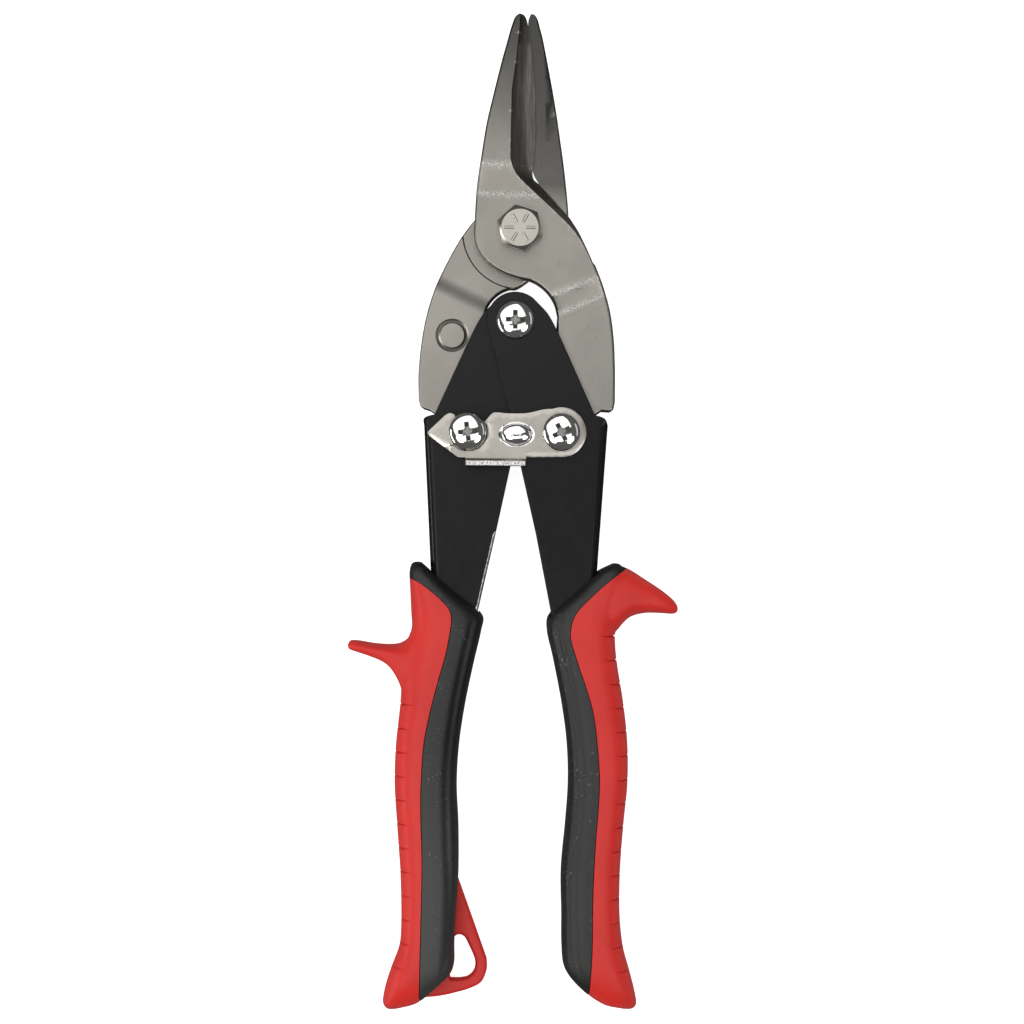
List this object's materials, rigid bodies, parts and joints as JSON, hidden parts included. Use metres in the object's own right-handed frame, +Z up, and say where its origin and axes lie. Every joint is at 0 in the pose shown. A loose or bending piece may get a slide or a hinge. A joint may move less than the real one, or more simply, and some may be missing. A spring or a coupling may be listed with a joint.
{
  "type": "aviation snips",
  "caption": "Compound-action sheet-metal snips with curved blades, black channel handles, a latch and two-tone grips with thumb guards and a hanging loop.",
  "frame": {"origin": "on the main pivot's axis, in the plane of the bolt's rear end, on which the closed tool lies", "axes": "+Y from the pivot to the blade tips, +Z up towards the side with the latch, +X to the right as seen from above"},
  "size_m": [0.0825, 0.2507, 0.0211],
  "materials": {
    "blade_steel": "satin nickel-grey forging with brushed faces",
    "nickel_plate": "satin nickel plate",
    "bright_chrome": "polished chrome",
    "spring_wire": "oiled spring steel",
    "black_paint": "gloss black powder coat",
    "red_plastic": "soft matte moulded plastic",
    "black_rubber": "fine-grained soft rubber"
  },
  "bodies": {
    "right_side": {"right_handle": "black_paint", "right_grip": "red_plastic", "right_grip_insert": "black_rubber", "handle_pivot_post": "bright_chrome", "handle_pivot_screw": "bright_chrome", "spring_bush": "nickel_plate", "return_spring": "spring_wire", "right_link_post": "bright_chrome", "right_link_screw": "bright_chrome", "latch_washer": "nickel_plate"},
    "left_side": {"left_handle": "black_paint", "left_grip": "red_plastic", "left_grip_insert": "black_rubber", "left_link_post": "bright_chrome", "left_link_screw": "bright_chrome"},
    "front_jaw": {"front_blade": "blade_steel", "pivot_bolt": "nickel_plate", "pivot_washer": "nickel_plate", "pivot_nut": "nickel_plate"},
    "rear_jaw": {"rear_blade": "blade_steel"},
    "latch_plate": {"latch": "nickel_plate"}
  },
  "joints": [
    {"name": "handles_open", "type": "hinge", "parent": "right_side", "child": "left_side", "pos_m": [-0.00097, -0.0227, 0.01], "axis": [0, 0, -1], "range_deg": [0, 28], "deforming": ["return_spring"]},
    {"name": "front_blade_swing", "type": "hinge", "parent": "right_side", "child": "front_jaw", "pos_m": [0.01063, -0.0506, 0.01], "axis": [0, 0, -1], "range_deg": [0, 6.2]},
    {"name": "rear_blade_swing", "type": "hinge", "parent": "front_jaw", "child": "rear_jaw", "pos_m": [0, 0, 0.01], "axis": [0, 0, -1], "range_deg": [0, 15]},
    {"name": "latch_swing", "type": "hinge", "parent": "right_side", "child": "latch_plate", "pos_m": [0.01063, -0.0506, 0.0173], "axis": [0, 0, 1], "range_deg": [0, 75]}
  ],
  "couplings": [
    {"joint": "front_blade_swing", "follows": "handles_open", "ratio": 0.22},
    {"joint": "rear_blade_swing", "follows": "handles_open", "ratio": 0.532},
    {"joint": "latch_swing", "follows": "handles_open", "ratio": 2.6}
  ]
}
